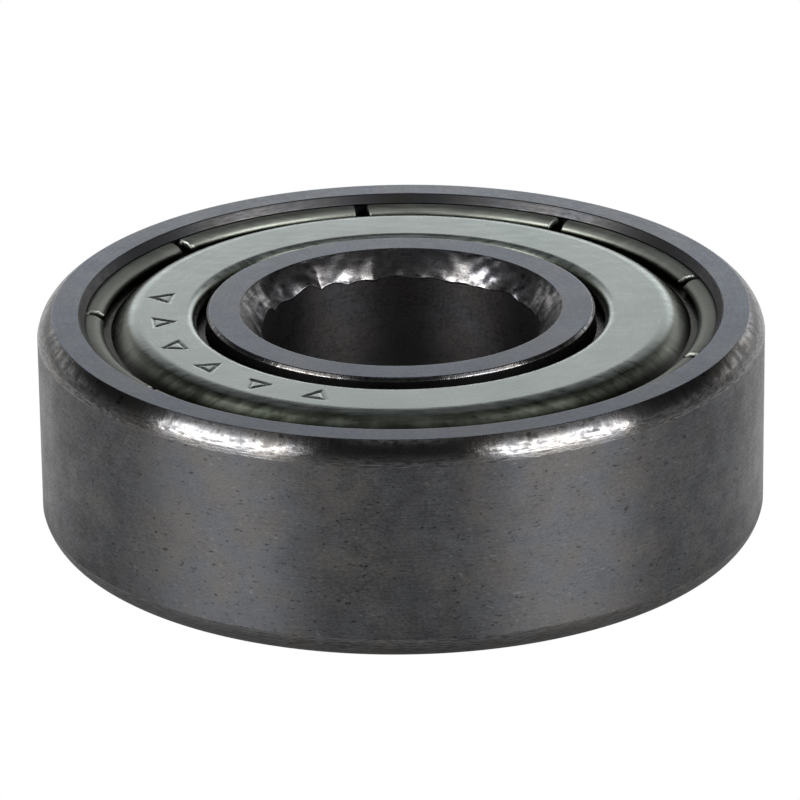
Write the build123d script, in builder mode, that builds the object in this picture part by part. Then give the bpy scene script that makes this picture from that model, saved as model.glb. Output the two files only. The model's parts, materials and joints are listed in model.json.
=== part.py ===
"""Shielded deep-groove ball bearing: two rings, balls in a riveted ribbon cage, two pressed shields.

Millimetres. The axis of rotation is Z, the origin is the middle of the bearing, and the side that
carries the stamped marks faces +Z.
"""

from build123d import *
import math
import os

os.makedirs("parts", exist_ok=True)

# Boundary sizes
bore_diameter = 10.0
outside_diameter = 26.0
width = 8.0

# Balls
ball_diameter = 4.7625
ball_count = 7
race_clearance = 0.01
inner_conformity = 0.515
outer_conformity = 0.525

# Rings
land_reach_share = 0.672
outer_corner_radial = 0.55
outer_corner_axial = 0.80
bore_corner_radial = 0.76
bore_corner_axial = 0.82
corner_bulge = 0.085
edge_break = 0.08

# Recess in the outer ring that holds a shield
shoulder_depth = 0.98
seat_depth = 0.90
seat_wall_drop = 0.44
mouth_reach = 0.67
mouth_drop = 0.32
mouth_opening = 0.23

# Recess beside the inner ring's land
step_height = 0.45
step_depth = 0.85
inner_face_edge = 0.15

# Cage
cage_sheet = 0.40
pocket_clearance = 0.08
cage_land_gap = 0.60
rivet_diameter = 0.80
rivet_hole_clearance = 0.01
rivet_head_diameter = 1.30
rivet_head_height = 0.32

# Shields
shield_sheet = 0.22
flat_depth = 0.13
shield_gap = 0.35
lip_drop = 0.45
lip_reach = 0.30
lip_lean = 0.12
lip_bend = 0.21
cone_run = 0.66
cone_bend = 0.80
channel_inset = 0.28
channel_bend = 0.17
curl_clearance = 0.035
curl_drop = 0.31
curl_free_width = 0.66
curl_crown_width = 0.38
curl_end_dip = 0.22
curl_end_bend = 0.30
curl_bend_play = 0.01
slit_play = 0.02
notch_count = 9
notch_width = 0.54
notch_phase = 17.4

# Row of plain triangles pressed into the upper shield
mark_count = 6
mark_first_angle = 171.0
mark_spacing = 15.8
mark_size = 0.62
mark_stroke = 0.14
mark_depth = 0.04

# Sizes that follow from the ones above
bore_radius = bore_diameter / 2
outer_radius = outside_diameter / 2
half_width = width / 2
ball_radius = ball_diameter / 2
pitch_radius = (bore_radius + outer_radius) / 2
ball_angle = 360 / ball_count

land_reach = ball_radius * land_reach_share
inner_land_radius = pitch_radius - land_reach
outer_land_radius = pitch_radius + land_reach
inner_groove_radius = inner_conformity * ball_diameter
outer_groove_radius = outer_conformity * ball_diameter
inner_groove_centre = pitch_radius - ball_radius - race_clearance + inner_groove_radius
outer_groove_centre = pitch_radius + ball_radius + race_clearance - outer_groove_radius

shoulder_height = half_width - shoulder_depth
seat_radius = outer_land_radius + seat_depth
mouth_radius = outer_land_radius + mouth_reach
step_radius = inner_land_radius - step_height

pocket_radius = ball_radius + pocket_clearance
pocket_outer_radius = pocket_radius + cage_sheet
cage_inner_radius = inner_land_radius + cage_land_gap
cage_outer_radius = outer_land_radius - cage_land_gap

sheet_middle = shield_sheet / 2
shield_bore_radius = step_radius + shield_gap
flat_level = half_width - flat_depth - sheet_middle
lip_level = half_width - flat_depth - lip_drop
channel_radius = outer_land_radius - channel_inset
cone_start_radius = channel_radius - cone_run
channel_level = shoulder_height + sheet_middle
curl_outer_line = seat_radius - curl_clearance - sheet_middle
curl_level = half_width - curl_drop - sheet_middle
curl_free_radius = curl_outer_line - curl_free_width
curl_bend = (curl_level - channel_level) / 2 - curl_bend_play
slit_level = channel_level + sheet_middle + slit_play
notch_reach = curl_free_width + 2 * shield_sheet

mark_radius = (shield_bore_radius + lip_reach + cone_start_radius) / 2


# Outer ring: raceway, two lands, a recess with an undercut at each end, rounded outer corners
with BuildPart() as outer_ring:
    with BuildSketch(Plane.XZ) as outer_section:
        with BuildLine() as outer_half:
            Polyline(
                (outer_land_radius, 0),
                (outer_land_radius, shoulder_height),
                (seat_radius, shoulder_height),
                (seat_radius, half_width - seat_wall_drop),
                (mouth_radius, half_width - mouth_drop),
                (mouth_radius + mouth_opening, half_width),
                (outer_radius - outer_corner_radial, half_width),
            )
            SagittaArc(
                (outer_radius - outer_corner_radial, half_width),
                (outer_radius, half_width - outer_corner_axial),
                corner_bulge,
            )
            Line((outer_radius, half_width - outer_corner_axial), (outer_radius, 0))
            mirror(about=Plane.XZ)
        make_face()
        with Locations((outer_groove_centre, 0)):
            Circle(outer_groove_radius, mode=Mode.SUBTRACT)
        land_corners = outer_section.vertices().filter_by_position(
            Axis.X, outer_land_radius - 0.01, outer_land_radius + 0.01
        )
        fillet(land_corners, radius=edge_break)
    revolve(axis=Axis.Z)

outer_ring.part.label = "outer_ring"
export_step(outer_ring.part, "parts/outer_ring.step")


# Inner ring: bore with rounded mouths, raceway, lands stepped down beside the side faces
with BuildPart() as inner_ring:
    with BuildSketch(Plane.XZ) as inner_section:
        with BuildLine() as inner_half:
            Line((bore_radius, 0), (bore_radius, half_width - bore_corner_axial))
            SagittaArc(
                (bore_radius, half_width - bore_corner_axial),
                (bore_radius + bore_corner_radial, half_width),
                corner_bulge,
            )
            Polyline(
                (bore_radius + bore_corner_radial, half_width),
                (step_radius - inner_face_edge, half_width),
                (step_radius, half_width - inner_face_edge),
                (step_radius, half_width - step_depth),
                (inner_land_radius, half_width - step_depth),
                (inner_land_radius, 0),
            )
            mirror(about=Plane.XZ)
        make_face()
        with Locations((inner_groove_centre, 0)):
            Circle(inner_groove_radius, mode=Mode.SUBTRACT)
        shaped_corners = inner_section.vertices().filter_by_position(
            Axis.X, step_radius - inner_face_edge - 0.01, inner_land_radius + 0.01
        )
        fillet(shaped_corners, radius=edge_break)
    revolve(axis=Axis.Z)

inner_ring.part.label = "inner_ring"
export_step(inner_ring.part, "parts/inner_ring.step")


def build_ball(number):
    """One ball, at its place on the pitch circle."""
    angle = math.radians(ball_angle * (number - 1))
    name = f"ball_{number}"
    with BuildPart() as ball:
        with Locations((pitch_radius * math.cos(angle), pitch_radius * math.sin(angle), 0)):
            Sphere(ball_radius)
    ball.part.label = name
    export_step(ball.part, f"parts/{name}.step")


def build_cage_half(side, name):
    """One pressed half of the ribbon cage: side is 1 for the upper half and -1 for the lower one."""
    with BuildPart() as cage_half:
        with BuildSketch():
            Circle(cage_outer_radius)
            Circle(cage_inner_radius, mode=Mode.SUBTRACT)
        extrude(amount=side * cage_sheet)
        with PolarLocations(pitch_radius, ball_count):
            Sphere(pocket_outer_radius)
        with BuildSketch():
            Circle(cage_outer_radius)
            Circle(cage_inner_radius, mode=Mode.SUBTRACT)
        extrude(amount=side * pocket_outer_radius, mode=Mode.INTERSECT)
        with PolarLocations(pitch_radius, ball_count):
            Sphere(pocket_radius, mode=Mode.SUBTRACT)
        with BuildSketch():
            with PolarLocations(pitch_radius, ball_count, start_angle=ball_angle / 2):
                Circle(rivet_diameter / 2 + rivet_hole_clearance)
        extrude(amount=side * cage_sheet, mode=Mode.SUBTRACT)
    cage_half.part.label = name
    export_step(cage_half.part, f"parts/{name}.step")


def build_rivet(number):
    """One rivet through the webs between two balls, with a domed head on each side."""
    angle = math.radians(ball_angle * (number - 0.5))
    outward = Vector(math.cos(angle), math.sin(angle), 0)
    centre = outward * pitch_radius
    upright = Plane(origin=centre, x_dir=outward, z_dir=outward.cross(Vector(0, 0, 1)))
    name = f"cage_rivet_{number}"
    with BuildPart() as rivet:
        with BuildSketch(upright):
            with BuildLine():
                Line((0, 0), (rivet_diameter / 2, 0))
                Line((rivet_diameter / 2, 0), (rivet_diameter / 2, cage_sheet))
                Line((rivet_diameter / 2, cage_sheet), (rivet_head_diameter / 2, cage_sheet))
                RadiusArc(
                    (rivet_head_diameter / 2, cage_sheet),
                    (0, cage_sheet + rivet_head_height),
                    -(rivet_head_diameter**2 / 4 + rivet_head_height**2) / (2 * rivet_head_height),
                )
                Line((0, cage_sheet + rivet_head_height), (0, 0))
            make_face()
            mirror(about=Plane.XZ)
        revolve(axis=Axis(centre, (0, 0, 1)))
    rivet.part.label = name
    export_step(rivet.part, f"parts/{name}.step")


def build_shield(side, name):
    """One pressed shield, from its lip at the inner ring to the curled rim in the outer ring's recess."""
    with BuildPart() as shield:
        with BuildSketch(Plane.XZ):
            with BuildLine():
                FilletPolyline(
                    (shield_bore_radius + sheet_middle, side * lip_level),
                    (shield_bore_radius + sheet_middle + lip_lean, side * flat_level),
                    (cone_start_radius, side * flat_level),
                    (channel_radius, side * channel_level),
                    (curl_outer_line, side * channel_level),
                    (curl_outer_line, side * curl_level),
                    (curl_outer_line - curl_crown_width, side * curl_level),
                    (curl_free_radius, side * (curl_level - curl_end_dip)),
                    radius=[lip_bend, cone_bend, channel_bend, curl_bend, curl_bend, curl_end_bend],
                )
            trace(line_width=shield_sheet)
        revolve(axis=Axis.Z)
        with BuildSketch(Plane.XY.offset(side * slit_level)):
            with PolarLocations(curl_outer_line + shield_sheet, notch_count, start_angle=notch_phase):
                Rectangle(notch_reach, notch_width, align=(Align.MAX, Align.CENTER))
        extrude(amount=side * shoulder_depth, mode=Mode.SUBTRACT)
        if side > 0:
            with BuildSketch(Plane.XY.offset(half_width - flat_depth)):
                for place in range(mark_count):
                    angle = mark_first_angle + place * mark_spacing
                    with PolarLocations(mark_radius, 1, start_angle=angle):
                        RegularPolygon(mark_size, 3, rotation=180 * (place % 2))
                for place in range(mark_count):
                    angle = mark_first_angle + place * mark_spacing
                    with PolarLocations(mark_radius, 1, start_angle=angle):
                        RegularPolygon(
                            mark_size - 2 * mark_stroke, 3, rotation=180 * (place % 2), mode=Mode.SUBTRACT
                        )
            extrude(amount=-mark_depth, mode=Mode.SUBTRACT)
    shield.part.label = name
    export_step(shield.part, f"parts/{name}.step")


for ball_number in range(1, ball_count + 1):
    build_ball(ball_number)
    build_rivet(ball_number)

build_cage_half(1, "cage_half_top")
build_cage_half(-1, "cage_half_bottom")
build_shield(1, "shield_top")
build_shield(-1, "shield_bottom")
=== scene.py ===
"""Looks of a shielded ball bearing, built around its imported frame.

Metres. The axis of rotation is Z, the origin is the middle of the bearing, and the side that carries the
stamped marks faces +Z. Every turned piece is an outline in the (radius, height) plane carried round the axis.
"""

import json
import logging
import math
from dataclasses import dataclass
from enum import Enum
from typing import ClassVar

import bpy
import numpy as np
from mathutils import Matrix, Vector

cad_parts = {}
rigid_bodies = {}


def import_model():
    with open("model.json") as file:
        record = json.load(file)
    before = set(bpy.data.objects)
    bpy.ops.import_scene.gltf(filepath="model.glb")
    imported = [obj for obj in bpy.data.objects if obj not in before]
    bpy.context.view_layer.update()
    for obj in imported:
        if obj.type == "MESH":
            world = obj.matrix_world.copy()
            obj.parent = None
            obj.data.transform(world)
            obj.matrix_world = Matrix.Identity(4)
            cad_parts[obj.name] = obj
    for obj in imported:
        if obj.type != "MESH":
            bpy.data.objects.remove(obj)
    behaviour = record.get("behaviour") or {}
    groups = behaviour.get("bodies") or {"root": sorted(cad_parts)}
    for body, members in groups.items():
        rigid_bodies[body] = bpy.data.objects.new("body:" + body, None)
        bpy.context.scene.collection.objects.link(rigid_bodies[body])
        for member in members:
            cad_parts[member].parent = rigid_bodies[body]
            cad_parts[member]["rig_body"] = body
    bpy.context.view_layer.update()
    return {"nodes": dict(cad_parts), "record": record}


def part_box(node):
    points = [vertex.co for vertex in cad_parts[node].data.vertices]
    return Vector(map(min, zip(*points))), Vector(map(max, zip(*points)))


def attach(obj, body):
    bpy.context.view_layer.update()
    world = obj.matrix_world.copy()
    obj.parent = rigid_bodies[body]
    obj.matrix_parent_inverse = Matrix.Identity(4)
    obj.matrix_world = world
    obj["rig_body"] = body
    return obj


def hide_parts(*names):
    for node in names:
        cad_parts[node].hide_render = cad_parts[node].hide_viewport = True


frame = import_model()

log = logging.getLogger("bearing")

MM = 0.001

# The vertex attribute that says how deep a stamped mark is, from 0 to 1.
STAMP = "stamped"

# Just past each arc comes one more point, this far away but at most this share of the straight stretch.
SUPPORT = 0.03 * MM
SUPPORT_SHARE = 0.2

# Wear grows over this length along an outline, and starts this share of it inside a finish's edge.
FADE = 0.05 * MM
FADE_START = 0.6

# A bulged corner's arc has this share of its full radius, which leaves room for the arcs at its ends.
BULGE_SHARE = 0.8

# A half of a ring's section ends on its land, at this share of the ball's radius above the middle.
LAND_SHARE = 0.9

# Seeds of the random waves: two for the wear, and one for the edge of the bore's mouths.
WEAR_SEEDS = (11, 12)
SCALLOP_SEED = 21

# Columns of a shield are at least this many radians apart.
CLOSEST = 1e-4


class Zone(Enum):
    """The stretches of a turned piece that are finished differently."""

    FACE = "face"
    WALL = "wall"
    CORNER = "corner"
    # The outer ring's recess under the shield, from its mouth to its land, carries painted shade.
    SHADED_RECESS = "recess"
    RACE = "race"
    BORE = "bore"
    MOUTH = "mouth"
    # The inner ring's lands and step, in the gap under the shield, carry painted shade.
    SHADED_LAND = "land"
    FLAT = "flat"


class Side(Enum):
    """The two sides of the bearing."""

    TOP = 1
    BOTTOM = -1


# ---------------------------------------------------------------------------------------------------------
# Outlines and surfaces
# ---------------------------------------------------------------------------------------------------------


@dataclass(frozen=True)
class Corner:
    """One corner of an outline in the (radius, height) plane.

    Args:
        radius: distance from the axis.
        height: height above the middle plane.
        bend: radius of the arc that rounds the corner.
        zone: finish of the arc and of the straight stretch that follows it.
        steps: points along the arc.
    """

    radius: float
    height: float
    bend: float
    zone: Zone
    steps: int = 7


@dataclass
class Outline:
    """A line in the (radius, height) plane as points, with the finish of each stretch between them."""

    points: np.ndarray
    zones: list[Zone]

    def mirrored(self) -> "Outline":
        """Turns the outline over the middle plane, run the other way so that its inside stays left.

        Returns:
            The turned outline.
        """
        flipped = self.points[::-1] * np.array([1.0, -1.0])
        return Outline(flipped, self.zones[:-1][::-1] + self.zones[-1:])


def rounded(corners: list[Corner], closed: bool) -> Outline:
    """Rounds each corner of a polygon by an arc that touches both its sides.

    At a corner with unit directions p to the one before and q to the one after, half the angle between
    them is h. The arc's centre lies on the bisector at bend / sin(h), and it touches the sides at
    bend / tan(h) from the corner. One more point on each side, just past the arc, keeps the straight
    stretches' shading straight.

    Args:
        corners: the corners, in order, with the inside of the piece on the left.
        closed: whether the last corner joins the first; the ends of an open line aren't rounded.

    Returns:
        The outline with its arcs as points.
    """
    places = np.array([(c.radius, c.height) for c in corners])
    runs: list[np.ndarray] = []
    zones: list[Zone] = []
    for number, corner in enumerate(corners):
        if not closed and number in (0, len(corners) - 1):
            runs.append(places[number][None, :])
            zones.append(corner.zone)
            continue
        here = places[number]
        back = places[number - 1] - here
        ahead = places[(number + 1) % len(corners)] - here
        back_length, ahead_length = np.linalg.norm(back), np.linalg.norm(ahead)
        back, ahead = back / back_length, ahead / ahead_length
        half = math.acos(float(np.clip(back @ ahead, -1, 1))) / 2
        touch = corner.bend / math.tan(half)
        middle = (back + ahead) / np.linalg.norm(back + ahead)
        centre = here + middle * corner.bend / math.sin(half)
        start = here + back * touch - centre
        end = here + ahead * touch - centre
        share = np.linspace(0, 1, corner.steps)[:, None]
        turn = math.pi - 2 * half
        arc = centre + (np.sin((1 - share) * turn) * start + np.sin(share * turn) * end) / math.sin(turn)
        before = here + back * (touch + min(SUPPORT, SUPPORT_SHARE * back_length))
        after = here + ahead * (touch + min(SUPPORT, SUPPORT_SHARE * ahead_length))
        runs.append(np.vstack([before[None, :], arc, after[None, :]]))
        zones += [corners[number - 1].zone] + [corner.zone] * (corner.steps + 1)
    return Outline(np.vstack(runs), zones)


def lying_circle(count: int) -> np.ndarray:
    """Returns that many equally spaced angles round the axis."""
    return np.arange(count) * (2 * math.pi / count)


class Surface:
    """A closed mesh made from a grid of points, with a finish for each row."""

    def __init__(self, name: str, grid: np.ndarray, zones: list[Zone], capped: bool = False) -> None:
        """Takes the grid and works out its faces.

        Args:
            name: the piece's name.
            grid: points, shaped (columns round the piece, rows along its outline, 3).
            zones: the finish of the stretch after each row.
            capped: whether the first and last row are single points, which are merged into two poles;
                otherwise the outline closes on itself.
        """
        self.name = name
        self.zones = zones
        self.points = grid.reshape(-1, 3)
        columns, rows = grid.shape[:2]
        index = np.arange(columns * rows).reshape(columns, rows)
        if capped:
            index[:, 0] = index[0, 0]
            index[:, -1] = index[0, -1]
        ahead = np.roll(index, -1, axis=0)
        steps = rows - 1 if capped else rows
        near = np.arange(steps)
        far = (near + 1) % rows
        quads = np.stack([index[:, near], ahead[:, near], ahead[:, far], index[:, far]], axis=-1)
        self.quads = quads.reshape(-1, 4)
        self.row_of_quad = np.tile(near, columns)

    def mesh(self) -> bpy.types.Object:
        """Builds the object, smooth shaded, with one material index for each zone in the order met.

        Returns:
            The new object, linked to the scene, with no material yet.
        """
        quads = self.quads
        order = list(dict.fromkeys(self.zones))
        zone_index = np.array([order.index(z) for z in self.zones])[self.row_of_quad]
        doubled_start = quads[:, 0] == quads[:, 1]
        doubled_end = quads[:, 2] == quads[:, 3]
        whole = ~(doubled_start | doubled_end)
        triangles = np.vstack([quads[doubled_start][:, [0, 2, 3]], quads[doubled_end][:, [0, 1, 2]]])
        used = np.unique(quads)
        place = np.zeros(len(self.points), int)
        place[used] = np.arange(len(used))
        corner_count = np.concatenate([np.full(whole.sum(), 4), np.full(len(triangles), 3)])
        corners = place[np.concatenate([quads[whole].ravel(), triangles.ravel()])]
        starts = np.concatenate([[0], np.cumsum(corner_count)[:-1]])
        data = bpy.data.meshes.new(self.name)
        data.vertices.add(len(used))
        data.vertices.foreach_set("co", self.points[used].astype(np.float32).ravel())
        data.loops.add(len(corners))
        data.loops.foreach_set("vertex_index", corners.astype(np.int32))
        data.polygons.add(len(corner_count))
        data.polygons.foreach_set("loop_start", starts.astype(np.int32))
        finishes = np.concatenate(
            [zone_index[whole], zone_index[doubled_start], zone_index[doubled_end]]
        )
        data.polygons.foreach_set("material_index", finishes.astype(np.int32))
        data.polygons.foreach_set("use_smooth", np.ones(len(corner_count), bool))
        data.update(calc_edges=True)
        data.validate()
        piece = bpy.data.objects.new(self.name, data)
        bpy.context.scene.collection.objects.link(piece)
        piece["zone_order"] = [z.value for z in order]
        return piece


def turned(outline: np.ndarray, angles: np.ndarray) -> np.ndarray:
    """Carries an outline round the axis.

    The point at angle a and outline place (r, z) is (r cos a, r sin a, z).

    Args:
        outline: points (radius, height), or one such row for each angle.
        angles: the angles of the columns.

    Returns:
        The grid of points, (angles, outline points, 3).
    """
    rows = np.broadcast_to(outline, (len(angles),) + outline.shape[-2:])
    turn = angles[:, None]
    return np.stack([rows[..., 0] * np.cos(turn), rows[..., 0] * np.sin(turn), rows[..., 1]], axis=-1)


def wave_round(angles: np.ndarray, seed: int, fewest: int, most: int) -> np.ndarray:
    """A random wave round the circle that closes on itself, about zero and with a spread of one.

    It is the sum of cosines that go round a whole number of times, from the fewest to the most, each with
    a random start and a random size that falls with the root of that number.

    Args:
        angles: where to work it out.
        seed: which wave.
        fewest: waves round the circle in its longest part.
        most: waves round the circle in its shortest part.

    Returns:
        The wave at each angle.
    """
    draw = np.random.default_rng(seed)
    turns = np.arange(fewest, most + 1)
    start = draw.uniform(0, 2 * math.pi, len(turns))
    size = draw.normal(size=len(turns)) / np.sqrt(turns)
    wave = (size * np.cos(turns * angles[:, None] + start)).sum(axis=1)
    return wave / wave.std()


@dataclass(frozen=True)
class Wear:
    """How uneven one finish is: its depth, the waves round the circle, and its pitch along the outline."""

    depth: float
    fewest: int
    most: int
    pitch: float


def worn(points: np.ndarray, zones: list[Zone], angles: np.ndarray, wear: dict[Zone, Wear]) -> np.ndarray:
    """Makes some finishes of an outline a little uneven round the axis.

    At angle a and length s along the outline, a point moves along the outline's normal by the depth times
    (first wave at a times cos(2 pi s / pitch) plus second wave at a times its sine), which fades out at the
    finish's edges.

    Args:
        points: the closed outline.
        zones: the finish of each of its stretches.
        angles: the columns' angles.
        wear: the uneven finishes.

    Returns:
        The outline at each angle, (angles, points, 2).
    """
    slope = np.roll(points, -1, axis=0) - np.roll(points, 1, axis=0)
    slope /= np.linalg.norm(slope, axis=1)[:, None]
    normal = np.stack([slope[:, 1], -slope[:, 0]], axis=-1)
    length = np.cumsum(np.linalg.norm(points - np.roll(points, 1, axis=0), axis=1))
    push = np.zeros((len(angles), len(points)))
    for zone, shape in wear.items():
        inside = np.array([z is zone for z in zones])
        outside = length[~(inside & np.roll(inside, 1))]
        here = np.clip(np.abs(length[:, None] - outside).min(axis=1) / FADE - FADE_START, 0, 1)
        phase = 2 * math.pi * length / shape.pitch
        first, second = (wave_round(angles, seed, shape.fewest, shape.most)[:, None] for seed in WEAR_SEEDS)
        push += shape.depth * here * (first * np.cos(phase) + second * np.sin(phase))
    return points + push[..., None] * normal


# ---------------------------------------------------------------------------------------------------------
# Finishes
# ---------------------------------------------------------------------------------------------------------

Colour = tuple[float, float, float, float]
Span = tuple[float, float]
Socket = bpy.types.NodeSocket

WHITE: Colour = (1, 1, 1, 1)


@dataclass(frozen=True)
class Pattern:
    """A soft random pattern: its scale, how many finer ones lie in it, and how strong those are."""

    scale: float
    detail: float
    fineness: float


class Nodes:
    """A node tree, with the few steps that the finishes and the lights share."""

    def __init__(self, tree: bpy.types.NodeTree) -> None:
        """Takes the tree and empties it."""
        self.tree = tree
        tree.nodes.clear()

    def add(self, kind: str) -> bpy.types.Node:
        """Returns a new node of that kind."""
        return self.tree.nodes.new(kind)

    def put(self, socket: Socket, value: object) -> None:
        """Gives a socket a value, or a link where the value is another node's output.

        Args:
            socket: the input that takes it.
            value: a number, a colour or an output.
        """
        if isinstance(value, Socket):
            self.tree.links.new(value, socket)
        else:
            socket.default_value = value

    def sum_of(self, operation: str, first: object, second: object) -> Socket:
        """Puts two numbers together.

        Args:
            operation: the Math node's name for how.
            first: a number or a socket.
            second: another one.

        Returns:
            The result's socket.
        """
        node = self.add("ShaderNodeMath")
        node.operation = operation
        self.put(node.inputs[0], first)
        self.put(node.inputs[1], second)
        return node.outputs[0]

    def range(self, value: Socket, span: Span, low: float, high: float) -> Socket:
        """Moves a value smoothly from one range into another, and keeps it inside.

        Args:
            value: what is moved.
            span: the range that it comes from.
            low: what the span's first end becomes.
            high: what the span's second end becomes.

        Returns:
            The moved value's socket.
        """
        node = self.add("ShaderNodeMapRange")
        node.interpolation_type = "SMOOTHSTEP"
        self.put(node.inputs["Value"], value)
        for name, number in zip(("From Min", "From Max", "To Min", "To Max"), (*span, low, high)):
            node.inputs[name].default_value = number
        return node.outputs["Result"]

    def length(self, vector: Socket) -> Socket:
        """Returns a vector's length."""
        node = self.add("ShaderNodeVectorMath")
        node.operation = "LENGTH"
        self.put(node.inputs[0], vector)
        return node.outputs["Value"]

    def glow(self, kind: str, strength: object) -> Socket:
        """Makes a white light shader.

        Args:
            kind: the node's kind.
            strength: a number or a socket.

        Returns:
            The shader's socket.
        """
        node = self.add(kind)
        self.put(node.inputs["Color"], WHITE)
        self.put(node.inputs["Strength"], strength)
        return node.outputs[0]

    def backdrop(self, light: Socket, seen: Socket, surface: Socket) -> None:
        """Shows the camera a plain backdrop where everything else gets the studio's light.

        Args:
            light: the shader that the pieces are lit by.
            seen: the shader that stands behind them in the picture.
            surface: the output's socket.
        """
        path = self.add("ShaderNodeLightPath")
        mix = self.add("ShaderNodeMixShader")
        self.put(mix.inputs[0], path.outputs["Is Camera Ray"])
        self.put(mix.inputs[1], light)
        self.put(mix.inputs[2], seen)
        self.put(surface, mix.outputs[0])


class Board(Nodes):
    """A material's node tree with a metal shader in it and the patterns that the finishes share."""

    def __init__(self, name: str) -> None:
        """Makes a material whose surface is a metal shader.

        Args:
            name: the material's name.
        """
        self.result = bpy.data.materials.new(name)
        self.result.use_nodes = True
        super().__init__(self.result.node_tree)
        output = self.add("ShaderNodeOutputMaterial")
        self.shader = self.add("ShaderNodeBsdfPrincipled")
        self.shader.inputs["Metallic"].default_value = 1.0
        self.put(output.inputs["Surface"], self.shader.outputs["BSDF"])
        self.place = self.add("ShaderNodeTexCoord").outputs["Object"]

    def stretched(self, scale: tuple[float, float, float]) -> Socket:
        """Returns the place on the piece, stretched by a factor along each axis."""
        node = self.add("ShaderNodeMapping")
        self.put(node.inputs["Vector"], self.place)
        self.put(node.inputs["Scale"], scale)
        return node.outputs["Vector"]

    def sideways(self) -> Socket:
        """Returns the place's part that lies across the axis."""
        node = self.add("ShaderNodeVectorMath")
        node.operation = "MULTIPLY"
        self.put(node.inputs[0], self.place)
        self.put(node.inputs[1], (1, 1, 0))
        return node.outputs["Vector"]

    def lay(self, around: float, across: float) -> Socket:
        """A place whose scale round the piece and across it are set apart.

        The vector is around times the unit direction away from the axis, with across times the sum of the
        height and the distance from the axis as its third part.

        Args:
            around: units to one radian round the piece.
            across: units to a metre across it.

        Returns:
            The vector's socket.
        """
        unit = self.add("ShaderNodeVectorMath")
        unit.operation = "NORMALIZE"
        self.put(unit.inputs[0], self.sideways())
        flat = self.add("ShaderNodeSeparateXYZ")
        self.put(flat.inputs[0], unit.outputs["Vector"])
        whole = self.add("ShaderNodeSeparateXYZ")
        self.put(whole.inputs[0], self.place)
        rise = self.sum_of("ADD", self.length(self.sideways()), whole.outputs[2])
        packed = self.add("ShaderNodeCombineXYZ")
        self.put(packed.inputs[0], self.sum_of("MULTIPLY", flat.outputs[0], around))
        self.put(packed.inputs[1], self.sum_of("MULTIPLY", flat.outputs[1], around))
        self.put(packed.inputs[2], self.sum_of("MULTIPLY", rise, across))
        return packed.outputs[0]

    def add_up(self, *parts: tuple[Socket, float]) -> Socket:
        """Adds patterns up.

        Args:
            parts: each pattern and its share.

        Returns:
            The sum's socket.
        """
        total: object = 0.0
        for pattern, share in parts:
            total = self.sum_of("ADD", total, self.sum_of("MULTIPLY", pattern, share))
        return total

    def noise(self, where: Socket, pattern: Pattern) -> Socket:
        """Gives each place a soft random number about 0.5.

        Args:
            where: the place.
            pattern: which pattern.

        Returns:
            The number's socket.
        """
        node = self.add("ShaderNodeTexNoise")
        self.put(node.inputs["Vector"], where)
        self.put(node.inputs["Scale"], pattern.scale)
        self.put(node.inputs["Detail"], pattern.detail)
        self.put(node.inputs["Roughness"], pattern.fineness)
        return node.outputs["Fac"]

    def blend(self, share: object, first: object, second: object, kind: str = "MIX") -> Socket:
        """Mixes two colours.

        Args:
            share: how much of the second one, 0 to 1.
            first: a colour or a socket.
            second: another one.
            kind: how the second acts on the first.

        Returns:
            The mixed colour's socket.
        """
        node = self.add("ShaderNodeMix")
        node.data_type = "RGBA"
        node.blend_type = kind
        self.put(node.inputs["Factor"], share)
        self.put(node.inputs["A"], first)
        self.put(node.inputs["B"], second)
        return node.outputs["Result"]

    def finish(self, colour: Socket, roughness: Socket, height: Socket, depth: float,
               strength: float) -> bpy.types.Material:
        """Plugs the patterns into the shader.

        Args:
            colour: the metal's colour.
            roughness: how dull it is.
            height: the pattern of the fine relief.
            depth: how deep that relief goes.
            strength: how strongly it bends the light, 0 to 1.

        Returns:
            The finished material.
        """
        bump = self.add("ShaderNodeBump")
        self.put(bump.inputs["Strength"], strength)
        self.put(bump.inputs["Distance"], depth)
        self.put(bump.inputs["Height"], height)
        self.put(self.shader.inputs["Base Color"], colour)
        self.put(self.shader.inputs["Roughness"], roughness)
        self.put(self.shader.inputs["Normal"], bump.outputs["Normal"])
        return self.result


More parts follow.
